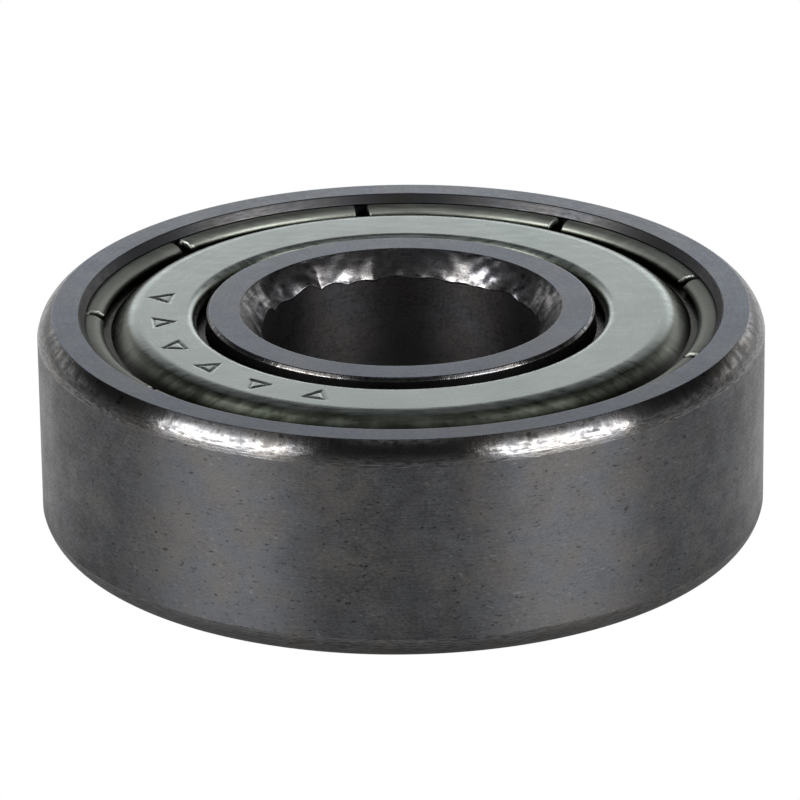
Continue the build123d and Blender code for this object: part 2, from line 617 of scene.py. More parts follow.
@dataclass(frozen=True)
class MachinedSteel:
    """Steel turned or ground round the axis.

    The tool's lines run round the piece, so that its gloss spreads across them, and bright streaks, cloudy
    patches, fine grain and small dark pits break it up.

    Args:
        dark: colour of its darker streaks.
        light: colour of its lighter streaks.
        roughness: how dull it is.
        spread: how far the gloss spreads across the lines.
        around: how many grains go round one radian.
        across: how many grains go to a metre across the lines.
        contrast: how strongly the grain changes colour and gloss.
        relief: depth of the grain.
        pits: share of the colour that a pit takes away.
        cloudy: how much of the pattern is patches rather than lines.
    """

    dark: Colour
    light: Colour
    roughness: float
    spread: float
    around: float = 40
    across: float = 9000
    contrast: float = 0.5
    relief: float = 0.004 * MM
    pits: float = 0.0
    cloudy: float = 0.4

    GRAIN: ClassVar[Pattern] = Pattern(1.0, 3, 0.6)
    STREAKS: ClassVar[Pattern] = Pattern(1.0, 3, 0.65)
    CLOUDS: ClassVar[Pattern] = Pattern(330, 4, 0.55)
    MOTTLE: ClassVar[Pattern] = Pattern(1150, 4, 0.6)
    TINT: ClassVar[Pattern] = Pattern(640, 3, 0.5)
    HOLES: ClassVar[Pattern] = Pattern(1.0, 2, 0.5)
    STREAK_STRETCH: ClassVar[Span] = (0.12, 1.3)
    HOLE_STRETCH: ClassVar[Span] = (0.50, 0.62)
    LINE_SHARES: ClassVar[Span] = (0.66, 0.34)
    PATCH_SHARES: ClassVar[Span] = (0.4, 0.6)
    RELIEF_SHARES: ClassVar[Span] = (0.6, 0.4)
    COLOUR_REACH: ClassVar[float] = 0.22
    TINT_SPAN: ClassVar[Span] = (0.42, 0.60)
    COOL: ClassVar[Colour] = (0.975, 0.99, 1.035, 1)
    WARM: ClassVar[Colour] = (1.03, 1.0, 0.965, 1)
    PIT_SPAN: ClassVar[Span] = (0.645, 0.700)
    PIT_COLOUR: ClassVar[Colour] = (0.015, 0.015, 0.015, 1)
    SPECK_SPAN: ClassVar[Span] = (0.330, 0.285)
    SPECK_COLOUR: ClassVar[Colour] = (0.20, 0.20, 0.20, 1)
    SPECK_SHARE: ClassVar[float] = 0.5
    GLOSS_SPAN: ClassVar[Span] = (0.38, 0.62)
    GLOSS_REACH: ClassVar[float] = 0.3
    RELIEF_STRENGTH: ClassVar[float] = 0.5
    ROUND_THE_AXIS: ClassVar[float] = 0.25

    def pitted(self, board: Board, colour: Socket) -> Socket:
        """Strews dark pits and pale specks over a colour.

        Args:
            board: the material's board.
            colour: the colour under them.

        Returns:
            The colour with the pits and specks.
        """
        around, across = self.HOLE_STRETCH
        holes = board.noise(board.lay(self.around * around, self.across * across), self.HOLES)
        spots = board.range(holes, self.PIT_SPAN, 0, 1)
        specks = board.range(holes, self.SPECK_SPAN, 0, 1)
        colour = board.blend(board.sum_of("MULTIPLY", spots, self.pits), colour, self.PIT_COLOUR)
        share = board.sum_of("MULTIPLY", specks, self.pits * self.SPECK_SHARE)
        return board.blend(share, colour, self.SPECK_COLOUR)

    def material(self, name: str) -> bpy.types.Material:
        """Makes the finish.

        Args:
            name: the material's name.

        Returns:
            The material.
        """
        board = Board(name)
        around, across = self.STREAK_STRETCH
        grain = board.noise(board.lay(self.around, self.across), self.GRAIN)
        streaks = board.noise(board.lay(self.around * around, self.across * across), self.STREAKS)
        patterns = (
            grain, streaks, board.noise(board.place, self.CLOUDS), board.noise(board.place, self.MOTTLE)
        )
        shares = [share * (1 - self.cloudy) for share in self.LINE_SHARES]
        shares += [share * self.cloudy for share in self.PATCH_SHARES]
        mixed = board.add_up(*zip(patterns, shares))
        half = self.COLOUR_REACH / (1 + self.contrast)
        colour = board.blend(board.range(mixed, (0.5 - half, 0.5 + half), 0, 1), self.dark, self.light)
        warmth = board.range(board.noise(board.place, self.TINT), self.TINT_SPAN, 0, 1)
        colour = board.blend(1.0, colour, board.blend(warmth, self.COOL, self.WARM), "MULTIPLY")
        if self.pits:
            colour = self.pitted(board, colour)
        reach = self.roughness * self.GLOSS_REACH * self.contrast
        rough = board.range(mixed, self.GLOSS_SPAN, self.roughness + reach, self.roughness - reach)
        lines = board.add_up(*zip((grain, streaks), self.RELIEF_SHARES))
        board.shader.inputs["Anisotropic"].default_value = self.spread
        board.shader.inputs["Anisotropic Rotation"].default_value = self.ROUND_THE_AXIS
        return board.finish(colour, rough, lines, self.relief, self.RELIEF_STRENGTH)


@dataclass(frozen=True)
class PlainSteel:
    """Steel without lines: balls, cage and rivets, each with its own values.

    Args:
        colour: its darker colour.
        mottle: its lighter colour.
        roughness: how dull it is.
        grain: how many spots go to a metre.
        bump: how strongly the spots bend the light.
    """

    colour: Colour
    mottle: Colour
    roughness: float
    grain: float = 2500
    bump: float = 0.15

    COLOUR_SPAN: ClassVar[Span] = (0.35, 0.65)
    GLOSS_SPAN: ClassVar[Span] = (0.3, 0.7)
    GLOSS_SHARES: ClassVar[Span] = (0.85, 1.2)
    RELIEF: ClassVar[float] = 0.005 * MM
    SPOTS: ClassVar[tuple[float, float]] = (4, 0.6)

    def material(self, name: str) -> bpy.types.Material:
        """Makes the finish.

        Args:
            name: the material's name.

        Returns:
            The material.
        """
        board = Board(name)
        spots = board.noise(board.place, Pattern(self.grain, *self.SPOTS))
        colour = board.blend(board.range(spots, self.COLOUR_SPAN, 0, 1), self.colour, self.mottle)
        glossy, dull = (share * self.roughness for share in self.GLOSS_SHARES)
        rough = board.range(spots, self.GLOSS_SPAN, glossy, dull)
        return board.finish(colour, rough, spots, self.RELIEF, self.bump)


@dataclass(frozen=True)
class ZincSheet:
    """Zinc-plated sheet of a shield.

    Its flat is greenish grey and satin, with a fine grain that runs one way, and painted darker in the
    stamped marks as shade in their sunk strokes. Below the flat, the cone is painted darker than the flat,
    partly its own duller tint and partly painted shade, and lined round the axis, with faint rays. The
    channel is painted dark as shade in its deep groove, and the curled edge is paler and duller.
    """

    flat: Colour = (0.495, 0.565, 0.545, 1)
    flat_light: Colour = (0.585, 0.640, 0.620, 1)
    # Colour of the painted shade in the sunk strokes of the stamped marks.
    stamped: Colour = (0.200, 0.230, 0.215, 1)
    # The cone's colours are partly the pressed zinc's duller tint and partly painted shade.
    cone: Colour = (0.080, 0.091, 0.069, 1)
    cone_light: Colour = (0.130, 0.144, 0.119, 1)
    # Colour of the painted shade in the deep channel.
    channel: Colour = (0.010, 0.011, 0.007, 1)
    curl: Colour = (0.250, 0.262, 0.240, 1)
    roughness: float = 0.30
    curl_roughness: float = 0.50
    stamp_shade_share: float = 0.8
    curl_share: float = 0.8
    flat_heights: Span = (3.74 * MM, 3.85 * MM)
    channel_shade_heights: Span = (3.62 * MM, 3.34 * MM)
    curl_radii: Span = (10.60 * MM, 10.80 * MM)

    GRAIN: ClassVar[Pattern] = Pattern(1.0, 4, 0.6)
    GRAIN_STRETCH: ClassVar[tuple[float, float, float]] = (900, 5200, 900)
    LINES: ClassVar[Pattern] = Pattern(1.0, 4, 0.65)
    RAY_STRETCH: ClassVar[Span] = (50, 500)
    RING_STRETCH: ClassVar[Span] = (9, 14000)
    CLOUDS: ClassVar[Pattern] = Pattern(300, 3, 0.5)
    FLAT_SHARES: ClassVar[Span] = (0.5, 0.5)
    FLAT_SPAN: ClassVar[Span] = (0.36, 0.64)
    CONE_SHARES: ClassVar[tuple[float, float, float]] = (0.2, 0.7, 0.1)
    CONE_SPAN: ClassVar[Span] = (0.34, 0.66)
    DETAIL_SHARES: ClassVar[tuple[float, float, float]] = (0.55, 0.1, 0.35)
    GLOSS_SPAN: ClassVar[Span] = (0.35, 0.65)
    GLOSSIER: ClassVar[float] = 0.05
    DULLER: ClassVar[float] = 0.08
    RELIEF: ClassVar[float] = 0.002 * MM
    RELIEF_STRENGTH: ClassVar[float] = 0.20

    def material(self, name: str) -> bpy.types.Material:
        """Makes the finish.

        Args:
            name: the material's name.

        Returns:
            The material.
        """
        board = Board(name)
        parts = board.add("ShaderNodeSeparateXYZ")
        board.put(parts.inputs[0], board.place)
        height = board.sum_of("ABSOLUTE", parts.outputs[2], 0.0)
        radius = board.length(board.sideways())
        grain = board.noise(board.stretched(self.GRAIN_STRETCH), self.GRAIN)
        rays = board.noise(board.lay(*self.RAY_STRETCH), self.LINES)
        rings = board.noise(board.lay(*self.RING_STRETCH), self.LINES)
        clouds = board.noise(board.place, self.CLOUDS)
        on_flat = board.range(height, self.flat_heights, 0, 1)
        # Painted shade: the sheet turns dark below these heights, down in the channel.
        channel_shade = board.range(height, self.channel_shade_heights, 0, 1)
        on_curl = board.range(radius, self.curl_radii, 0, 1)
        flat_mix = board.range(board.add_up(*zip((grain, clouds), self.FLAT_SHARES)), self.FLAT_SPAN, 0, 1)
        cone_mix = board.add_up(*zip((rays, rings, clouds), self.CONE_SHARES))
        cone_mix = board.range(cone_mix, self.CONE_SPAN, 0, 1)
        # Painted shade: the stamped strokes are darkened by how deep they are sunk.
        stamp = board.add("ShaderNodeAttribute")
        stamp.attribute_name = STAMP
        flat = board.blend(flat_mix, self.flat, self.flat_light)
        sunk = board.sum_of("MULTIPLY", stamp.outputs["Fac"], self.stamp_shade_share)
        flat = board.blend(sunk, flat, self.stamped)
        # Below the flat the colour turns to the cone's, a darker tint with painted shade in it.
        colour = board.blend(on_flat, board.blend(cone_mix, self.cone, self.cone_light), flat)
        colour = board.blend(board.sum_of("MULTIPLY", on_curl, self.curl_share), colour, self.curl)
        # Painted shade in the channel, laid over everything below the channel heights.
        colour = board.blend(channel_shade, colour, self.channel)
        detail = board.add_up(*zip((grain, rays, rings), self.DETAIL_SHARES))
        rough = board.range(
            detail, self.GLOSS_SPAN, self.roughness - self.GLOSSIER, self.roughness + self.DULLER
        )
        rougher = board.sum_of("MULTIPLY", on_curl, self.curl_roughness - self.roughness)
        rough = board.sum_of("ADD", rough, rougher)
        return board.finish(colour, rough, detail, self.RELIEF, self.RELIEF_STRENGTH)


FINISHES: dict[str, dict[Zone, MachinedSteel | PlainSteel | ZincSheet]] = {
    "ring": {
        Zone.FACE: MachinedSteel(
            dark=(0.112, 0.128, 0.154, 1), light=(0.178, 0.198, 0.230, 1), roughness=0.20, spread=0.3,
            around=60, relief=0.002 * MM,
        ),
        Zone.WALL: MachinedSteel(
            dark=(0.060, 0.060, 0.062, 1), light=(0.112, 0.112, 0.114, 1), roughness=0.42, spread=0.85,
            around=110, across=17000, contrast=0.6, pits=0.75,
        ),
        Zone.CORNER: MachinedSteel(
            dark=(0.062, 0.060, 0.060, 1), light=(0.200, 0.197, 0.195, 1), roughness=0.25, spread=0.9,
            around=38, across=21000, contrast=0.9, relief=0.020 * MM, pits=0.6, cloudy=0.14,
        ),
        # Painted shade: the recess under the shield is coloured darker than the ring's other steel.
        Zone.SHADED_RECESS: MachinedSteel(
            dark=(0.028, 0.028, 0.029, 1), light=(0.050, 0.050, 0.052, 1), roughness=0.40, spread=0.1
        ),
        Zone.RACE: MachinedSteel(
            dark=(0.50, 0.50, 0.51, 1), light=(0.55, 0.55, 0.56, 1), roughness=0.12, spread=0.5, contrast=0.3
        ),
        Zone.BORE: MachinedSteel(
            dark=(0.120, 0.114, 0.116, 1), light=(0.180, 0.173, 0.176, 1), roughness=0.30, spread=0.6
        ),
        Zone.MOUTH: MachinedSteel(
            dark=(0.008, 0.008, 0.009, 1), light=(0.160, 0.158, 0.163, 1), roughness=0.31, spread=0.2,
            around=16, across=2600, contrast=1.1, relief=0.020 * MM,
        ),
        # Painted shade: the inner ring's lands and step in the gap under the shield are coloured darker than
        # its other steel.
        Zone.SHADED_LAND: MachinedSteel(
            dark=(0.035, 0.034, 0.035, 1), light=(0.065, 0.063, 0.064, 1), roughness=0.30, spread=0.3
        ),
    },
    "shield": {Zone.FLAT: ZincSheet()},
    "cage": {
        Zone.WALL: PlainSteel(colour=(0.42, 0.42, 0.41, 1), mottle=(0.52, 0.52, 0.50, 1), roughness=0.34)
    },
    "rivet": {
        Zone.WALL: PlainSteel(colour=(0.46, 0.46, 0.45, 1), mottle=(0.55, 0.55, 0.54, 1), roughness=0.28)
    },
    "ball": {
        Zone.RACE: PlainSteel(
            colour=(0.58, 0.58, 0.59, 1), mottle=(0.62, 0.62, 0.63, 1), roughness=0.06, grain=3500, bump=0.02
        )
    },
}

_made: dict[str, bpy.types.Material] = {}


def dress(piece: bpy.types.Object, family: str) -> None:
    """Gives a piece the materials of its zones.

    Args:
        piece: an object made by Surface.mesh.
        family: which group of finishes it takes.
    """
    for value in piece["zone_order"]:
        name = f"{family}_{value}"
        if name not in _made:
            _made[name] = FINISHES[family][Zone(value)].material(name)
        piece.data.materials.append(_made[name])
    del piece["zone_order"]


def settle(piece: bpy.types.Object, node: str) -> None:
    """Puts a piece in a CAD node's stead: it rides on that node's body, and the node is hidden.

    Args:
        piece: the new piece.
        node: the CAD node that it replaces.
    """
    body = frame["nodes"][node]["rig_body"]
    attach(piece, body)
    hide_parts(node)
    log.info("%s rides on %s, %d faces", piece.name, body, len(piece.data.polygons))


# ---------------------------------------------------------------------------------------------------------
# Rings
# ---------------------------------------------------------------------------------------------------------


@dataclass
class BallRow:
    """Sizes that the rings, the cage and the balls share, read from the frame."""

    ball_radius: float
    pitch_radius: float
    count: int
    half_width: float
    outer_radius: float
    bore_radius: float
    clearance: float = 0.01 * MM

    @classmethod
    def from_frame(cls) -> "BallRow":
        """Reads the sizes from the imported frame.

        Returns:
            The sizes.
        """
        low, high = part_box("ball_1")
        ring_low, ring_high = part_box("outer_ring")
        bore = next(m for m in frame["record"]["mounts"] if m["name"] == "bore")
        centre = (low + high) / 2
        return cls(
            ball_radius=(high.z - low.z) / 2,
            pitch_radius=math.hypot(centre.x, centre.y),
            count=sum(name.startswith("ball_") for name in frame["nodes"]),
            half_width=(ring_high.z - ring_low.z) / 2,
            outer_radius=ring_high.x,
            bore_radius=bore["dims"]["r_mm"] * MM,
        )


def bulged_corner(start: Span, end: Span, bulge: float) -> tuple[float, float, float]:
    """Finds the one corner whose rounding gives a shallow arc from start to end.

    An arc of height b over a chord c has radius (c squared / 4 + b squared) / 2b, and its end tangents
    meet over the chord's middle at height c / 2 times tan(half the arc's turn).

    Args:
        start: first end, (radius, height).
        end: second end.
        bulge: the arc's height over its chord, to the right of the way from start to end.

    Returns:
        The corner's radius and height, and the arc's radius.
    """
    a, b = np.array(start), np.array(end)
    chord = float(np.linalg.norm(b - a))
    radius = (chord**2 / 4 + bulge**2) / (2 * bulge)
    turn = math.asin(chord / 2 / radius)
    along = (b - a) / chord
    right = np.array([along[1], -along[0]])
    meet = (a + b) / 2 + right * chord / 2 * math.tan(turn)
    return float(meet[0]), float(meet[1]), radius


@dataclass
class OuterRing:
    """The outer ring: raceway, lands, shield recesses, side faces, turned corners and ground wall."""

    row: BallRow
    land: float = 10.6 * MM
    seat: float = 11.5 * MM
    mouth: float = 11.27 * MM
    mouth_top: float = 11.5 * MM
    shoulder_depth: float = 0.98 * MM
    seat_drop: float = 0.44 * MM
    mouth_drop: float = 0.32 * MM
    corner_radial: float = 0.55 * MM
    corner_axial: float = 0.80 * MM
    bulge: float = 0.085 * MM
    groove_share: float = 0.525
    corner_wear: Wear = Wear(0.0005 * MM, 20, 110, 0.30 * MM)
    columns: int = 640
    race_points: int = 21

    def half(self) -> Outline:
        """Draws the upper half of the section.

        It starts at the wall's middle, runs up round the corner and over the side face into the recess,
        and ends on the land.

        Returns:
            The outline.
        """
        row = self.row
        top = row.half_width
        start = (row.outer_radius, top - self.corner_axial)
        end = (row.outer_radius - self.corner_radial, top)
        bend_radius, bend_height, arc = bulged_corner(start, end, self.bulge)
        return rounded(
            [
                Corner(row.outer_radius, 0, 0, Zone.WALL),
                Corner(start[0], start[1], 0.02 * MM, Zone.CORNER, 5),
                Corner(bend_radius, bend_height, arc * BULGE_SHARE, Zone.CORNER, 12),
                Corner(end[0], end[1], 0.035 * MM, Zone.FACE, 5),
                # From the mouth down to the land the ring takes the darker finish with painted shade.
                Corner(self.mouth_top, top, 0.05 * MM, Zone.SHADED_RECESS, 6),
                Corner(self.mouth, top - self.mouth_drop, 0.05 * MM, Zone.SHADED_RECESS, 6),
                Corner(self.seat, top - self.seat_drop, 0.03 * MM, Zone.SHADED_RECESS, 4),
                Corner(self.seat, top - self.shoulder_depth, 0.06 * MM, Zone.SHADED_RECESS, 5),
                Corner(self.land, top - self.shoulder_depth, 0.05 * MM, Zone.SHADED_RECESS, 5),
                Corner(self.land, row.ball_radius * LAND_SHARE, 0, Zone.SHADED_RECESS),
            ],
            closed=False,
        )

    def race(self) -> Outline:
        """Draws the groove between the two lands, top to bottom.

        The point at angle a is the groove's radius times (cos a, sin a) from its centre.

        Returns:
            The outline.
        """
        row = self.row
        groove = self.groove_share * 2 * row.ball_radius
        centre = row.pitch_radius + row.ball_radius + row.clearance - groove
        edge = math.sqrt(groove**2 - (self.land - centre) ** 2)
        reach = math.asin(edge / groove)
        angle = np.linspace(reach, -reach, self.race_points)
        points = np.stack([centre + groove * np.cos(angle), groove * np.sin(angle)], axis=-1)
        return Outline(points, [Zone.RACE] * (self.race_points - 1) + [Zone.SHADED_RECESS])

    def build(self) -> bpy.types.Object:
        """Carries the section round the axis and dresses it.

        The upper half, the groove and the mirrored half are joined into one closed outline. The ends that
        two of them share are left out once.

        Returns:
            The ring.
        """
        half = self.half()
        half.points = half.points[:-1]
        half.zones = half.zones[:-1]
        below = half.mirrored()
        points = np.vstack([half.points[1:], self.race().points, below.points[:-1]])
        zones = half.zones[1:] + self.race().zones + below.zones[:-2] + [Zone.WALL]
        angles = lying_circle(self.columns)
        grid = turned(worn(points, zones, angles, {Zone.CORNER: self.corner_wear}), angles)
        piece = Surface("outer_ring_body", grid, zones).mesh()
        dress(piece, "ring")
        settle(piece, "outer_ring")
        return piece


@dataclass
class InnerRing:
    """The inner ring: bore with rounded mouths, side faces, stepped lands and raceway."""

    row: BallRow
    land: float = 7.4 * MM
    step: float = 6.95 * MM
    face_edge: float = 0.10 * MM
    step_depth: float = 0.85 * MM
    mouth_radial: float = 0.76 * MM
    mouth_axial: float = 0.82 * MM
    bulge: float = 0.030 * MM
    groove_share: float = 0.515
    edge_wear: Wear = Wear(0.0030 * MM, 20, 150, 0.60 * MM)
    mouth_wear: Wear = Wear(0.0070 * MM, 10, 60, 0.90 * MM)
    scallop: float = 0.13
    scallop_waves: tuple[int, int] = (3, 22)
    scallop_reach: float = 1.5
    columns: int = 600
    race_points: int = 33

    def half(self) -> Outline:
        """Draws the upper half of the section.

        It starts on the land, runs up over its step and the side face and down the bore's mouth, and ends
        at the bore's middle.

        Returns:
            The outline.
        """
        row = self.row
        top = row.half_width
        start = (row.bore_radius + self.mouth_radial, top)
        end = (row.bore_radius, top - self.mouth_axial)
        bend_radius, bend_height, arc = bulged_corner(start, end, self.bulge)
        return rounded(
            [
                # The lands and step take the darker finish with painted shade.
                Corner(self.land, row.ball_radius * LAND_SHARE, 0, Zone.SHADED_LAND),
                Corner(self.land, top - self.step_depth, 0.06 * MM, Zone.SHADED_LAND, 5),
                Corner(self.step, top - self.step_depth, 0.06 * MM, Zone.SHADED_LAND, 5),
                Corner(self.step, top - self.face_edge, 0.07 * MM, Zone.CORNER, 7),
                Corner(self.step - self.face_edge, top, 0.05 * MM, Zone.FACE, 6),
                Corner(start[0], start[1], 0.03 * MM, Zone.MOUTH, 5),
                Corner(bend_radius, bend_height, arc * BULGE_SHARE, Zone.MOUTH, 16),
                Corner(end[0], end[1], 0.07 * MM, Zone.MOUTH, 7),
                Corner(row.bore_radius, 0, 0, Zone.BORE),
            ],
            closed=False,
        )

    def scalloped(self, outline: np.ndarray, angles: np.ndarray) -> np.ndarray:
        """Gives the bore's mouths their uneven lower edge.

        A mouth's point at depth d below the side face sinks by d times the scallop times the edge's wave,
        times d over the mouth's depth, so that the upper edge stays round. The wave is one less than the
        size of a random wave round the circle, which leaves it as a row of unequal arcs.

        Args:
            outline: the outline at each angle.
            angles: the columns' angles.

        Returns:
            The outline with its mouths' points moved.
        """
        depth = self.row.half_width - np.abs(outline[..., 1])
        near_bore = outline[..., 0] < self.row.bore_radius + self.mouth_radial
        in_mouth = near_bore & (depth > 0) & (depth < self.scallop_reach * self.mouth_axial)
        arcs = 1 - np.abs(wave_round(angles, SCALLOP_SEED, *self.scallop_waves))[:, None]
        sink = depth * self.scallop * arcs * np.clip(depth / self.mouth_axial, 0, 1)
        moved = outline.copy()
        moved[..., 1] -= np.sign(outline[..., 1]) * np.where(in_mouth, sink, 0)
        return moved

    def race(self) -> Outline:
        """Draws the groove between the two lands, bottom to top.

        The point at angle a is the groove's radius times (-cos a, sin a) from its centre.

        Returns:
            The outline.
        """
        row = self.row
        groove = self.groove_share * 2 * row.ball_radius
        centre = row.pitch_radius - row.ball_radius - row.clearance + groove
        edge = math.sqrt(groove**2 - (self.land - centre) ** 2)
        reach = math.asin(edge / groove)
        angle = np.linspace(-reach, reach, self.race_points)
        points = np.stack([centre - groove * np.cos(angle), groove * np.sin(angle)], axis=-1)
        return Outline(points, [Zone.RACE] * (self.race_points - 1) + [Zone.SHADED_LAND])

    def build(self) -> bpy.types.Object:
        """Carries the section round the axis and dresses it.

        The upper half, the groove and the mirrored half are joined into one closed outline. The ends that
        two of them share are left out once.

        Returns:
            The ring.
        """
        half = self.half()
        half.points = half.points[1:]
        half.zones = half.zones[1:-2] + [Zone.BORE] * 2
        below = half.mirrored()
        points = np.vstack([self.race().points, half.points[:-1], below.points[1:]])
        zones = self.race().zones + half.zones[:-1] + below.zones[1:-1] + [Zone.SHADED_LAND]
        angles = lying_circle(self.columns)
        wear = {Zone.CORNER: self.edge_wear, Zone.MOUTH: self.mouth_wear}
        grid = turned(self.scalloped(worn(points, zones, angles, wear), angles), angles)
        piece = Surface("inner_ring_body", grid, zones).mesh()
        dress(piece, "ring")
        settle(piece, "inner_ring")
        return piece


# ---------------------------------------------------------------------------------------------------------
# Shields
# ---------------------------------------------------------------------------------------------------------


@dataclass
class Shield:
    """A pressed shield: one line through the sheet's middle, thickened, with notches in its curled edge."""

    row: BallRow
    side: Side
    sheet: float = 0.22 * MM
    bore: float = 7.30 * MM
    lip_lean: float = 0.12 * MM
    lip_height: float = 3.42 * MM
    flat_height: float = 3.76 * MM
    cone_start: float = 9.66 * MM
    channel: float = 10.32 * MM
    channel_height: float = 3.13 * MM
    curl_line: float = 11.355 * MM
    curl_height: float = 3.58 * MM
    curl_crown: float = 0.38 * MM
    curl_width: float = 0.66 * MM
    curl_dip: float = 0.22 * MM
    notch_count: int = 9
    notch_width: float = 0.54 * MM
    notch_phase: float = math.radians(17.4)
    mark_count: int = 6
    mark_first: float = math.radians(171.0)
    mark_spacing: float = math.radians(15.8)
    mark_radius: float = 8.60 * MM
    mark_size: float = 0.62 * MM
    mark_stroke: float = 0.19 * MM
    mark_depth: float = 0.040 * MM
    mark_wall: float = 0.09 * MM
    mark_step: float = 0.043 * MM
    band_share: float = 1.1
    margin_share: float = 1.25
    side_width: float = 0.03 * MM
    side_columns: int = 7
    notch_wall: float = 0.06 * MM
    root_back: float = 0.12 * MM
    hinge_on: float = 0.25 * MM
    columns: int = 200

    def middle_line(self) -> Outline:
        """Draws the line through the middle of the sheet, from the lip to the curl's free edge.

        Returns:
            The line.
        """
        half = self.sheet / 2
        return rounded(
            [
                Corner(self.bore + half, self.lip_height, 0, Zone.FLAT),
                Corner(self.bore + half + self.lip_lean, self.flat_height, 0.21 * MM, Zone.FLAT, 9),
                Corner(self.cone_start, self.flat_height, 0.80 * MM, Zone.FLAT, 9),
                Corner(self.channel, self.channel_height, 0.17 * MM, Zone.FLAT, 7),
                Corner(self.curl_line, self.channel_height, 0.215 * MM, Zone.FLAT, 8),
                Corner(self.curl_line, self.curl_height, 0.215 * MM, Zone.FLAT, 9),
                Corner(self.curl_line - self.curl_crown, self.curl_height, 0.3 * MM, Zone.FLAT, 6),
                Corner(self.curl_line - self.curl_width, self.curl_height - self.curl_dip, 0, Zone.FLAT),
            ],
            closed=False,
        )

    def angles(self) -> np.ndarray:
        """Places the columns: evenly, and closer together at the notches' sides and at the marks.

        Returns:
            Their angles.
        """
        even = lying_circle(self.columns)
        notches = self.notch_phase + np.arange(self.notch_count) * (2 * math.pi / self.notch_count)
        half = self.notch_width / 2 / self.curl_line
        spread = np.linspace(-1, 1, self.side_columns) * self.side_width / self.curl_line
        sides = np.concatenate([notches[:, None] - half + spread, notches[:, None] + half + spread])
        parts = [even, sides.ravel() % (2 * math.pi)]
        if self.side is Side.TOP:
            reach = self.mark_size * self.margin_share / self.mark_radius
            last = self.mark_first + (self.mark_count - 1) * self.mark_spacing
            step = self.mark_step / self.mark_radius
            parts.append(np.arange(self.mark_first - reach, last + reach, step) % (2 * math.pi))
        found = np.sort(np.concatenate(parts))
        apart = np.diff(found, append=found[0] + 2 * math.pi) > CLOSEST
        return found[apart]

    def free_edge(self, angles: np.ndarray, full: float, root: float) -> np.ndarray:
        """How far along the middle line the sheet reaches at each angle.

        It reaches to full, and inside a notch only to root, with a smooth step between them at the
        notch's sides.

        Args:
            angles: the columns' angles.
            full: length of the line to the free edge.
            root: length of the line to a notch's root.

        Returns:
            One length for each angle.
        """
        pitch = 2 * math.pi / self.notch_count
        off = (angles - self.notch_phase + pitch / 2) % pitch - pitch / 2
        depth = (self.notch_width / 2 - np.abs(off) * self.curl_line) / self.notch_wall + 0.5
        share = np.clip(depth, 0, 1)
        share = share * share * (3 - 2 * share)
        return full + (root - full) * share

    def mark_relief(self, radius: np.ndarray, angle: np.ndarray) -> np.ndarray:
        """Depth of the row of stamped triangles at each point of the flat.

        In a mark's own axes the signed distance to a triangle is the largest of the three distances to
        its sides. The tool sinks where that distance is within half a stroke of zero, with sloping walls.

        Args:
            radius: distance from the axis.
            angle: angle round it.

        Returns:
            The depth, zero outside the strokes.
        """
        depth = np.zeros(np.broadcast(radius, angle).shape)
        for number in range(self.mark_count):
            turn = angle - (self.mark_first + number * self.mark_spacing)
            turn = (turn + math.pi) % (2 * math.pi) - math.pi
            flip = 1 if number % 2 == 0 else -1
            outward = (radius * np.cos(turn) - self.mark_radius) * flip
            along = radius * np.sin(turn) * flip
            sides = [
                outward * math.cos(a) + along * math.sin(a) - self.mark_size / 2 + self.mark_stroke / 2
                for a in (math.pi, math.pi / 3, -math.pi / 3)
            ]
            distance = np.abs(np.maximum(np.maximum(sides[0], sides[1]), sides[2]))
            wall = np.clip((self.mark_stroke / 2 - distance) / self.mark_wall, 0, 1)
            near = np.abs(turn) < self.mark_spacing / 2
            depth += np.where(near, wall * wall * (3 - 2 * wall), 0) * self.mark_depth
        return depth

    def seen_rows(self, length: np.ndarray, start: float, end: float) -> np.ndarray:
        """Places along the middle line for the seen side, closer together where marks are stamped.

        Args:
            length: the middle line's own places, measured along it.
            start: where the marks' band begins.
            end: where it ends.

        Returns:
            The places.
        """
        if self.side is Side.BOTTOM:
            return length
        count = int((end - start) / self.mark_step)
        return np.unique(np.concatenate([length, np.linspace(start, end, count)]))

    def build(self) -> bpy.types.Object:
        """Thickens the middle line on both sides at every angle, and stamps the marks into the top shield.

        A point on a side is the middle line's point plus or minus half the sheet along the line's normal.
        The place along the line is squeezed past the channel so that it ends at the free edge.

        Returns:
            The shield.
        """
        line = self.middle_line()
        steps = np.linalg.norm(np.diff(line.points, axis=0), axis=1)
        length = np.concatenate([[0], np.cumsum(steps)])
        slope = np.gradient(line.points, length, axis=0)
        slope /= np.linalg.norm(slope, axis=1)[:, None]
        normal = np.stack([-slope[:, 1], slope[:, 0]], axis=-1)
        root = length[np.argmax(line.points[:, 0])] - self.root_back
        hinge = length[np.argmin(line.points[:, 1])] + self.hinge_on
        band = self.mark_radius + np.array([-1, 1]) * self.mark_size * self.band_share
        outward = np.argmax(line.points[:, 0])
        seen = self.seen_rows(length, *np.interp(band, line.points[:outward, 0], length[:outward]))
        angles = self.angles()
        reach = self.free_edge(angles, float(length[-1]), float(root))[:, None]
        places, stamps = [], []
        for rows, sign in ((seen, 1.0), (length[::-1], -1.0)):
            squeezed = hinge + (rows - hinge) * (reach - hinge) / (length[-1] - hinge)
            at = np.where(rows > hinge, squeezed, rows)
            radius = np.interp(at, length, line.points[:, 0])
            height = np.interp(at, length, line.points[:, 1])
            across = np.interp(at, length, normal[:, 0])
            up = np.interp(at, length, normal[:, 1])
            size = np.hypot(across, up)
            radius = radius + sign * self.sheet / 2 * across / size
            height = height + sign * self.sheet / 2 * up / size
            sunk = np.zeros_like(height)
            if sign > 0 and self.side is Side.TOP:
                sunk = self.mark_relief(radius, angles[:, None])
            places.append(np.stack([radius, height - sunk], axis=-1))
            stamps.append(sunk / self.mark_depth)
